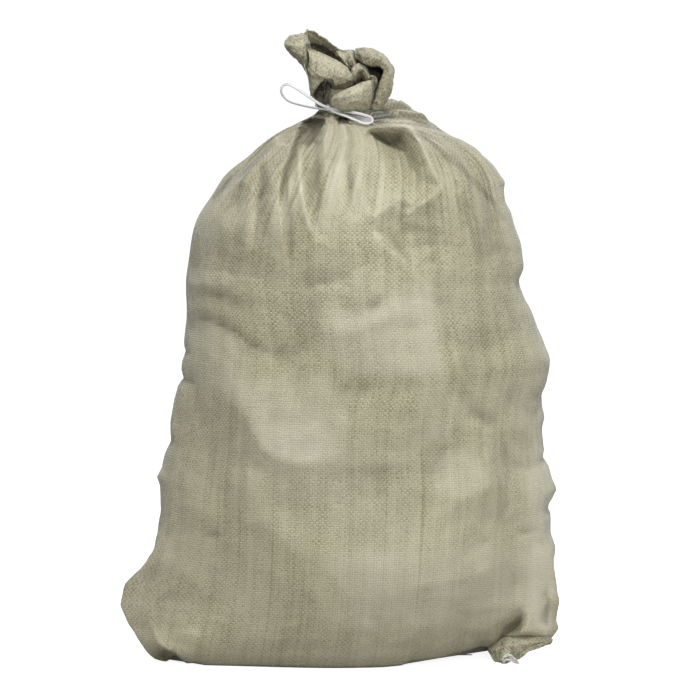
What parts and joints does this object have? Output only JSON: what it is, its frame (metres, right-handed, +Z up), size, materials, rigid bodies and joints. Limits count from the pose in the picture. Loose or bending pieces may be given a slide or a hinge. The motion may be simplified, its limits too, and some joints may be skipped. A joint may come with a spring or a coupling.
{
  "type": "rubble sack",
  "caption": "Woven plastic sack filled with building rubble, gathered and tied at the neck with string, standing on its base.",
  "frame": {"origin": "on the floor, under the middle of the sack's flat base", "axes": "+Z up along the filled sack to its tied neck, +X to the right seen from the front, the front faces -Y"},
  "size_m": [0.4901, 0.32, 0.7083],
  "materials": {
    "woven_cloth": "dusty grey-green woven plastic tape with a faint satin sheen",
    "tie_string": "white plastic string, satin",
    "stitching": "off-white sewing thread"
  },
  "bodies": {
    "root": {"sack": "woven_cloth", "tie_cord": "tie_string", "seam_thread": "stitching"}
  },
  "joints": []
}
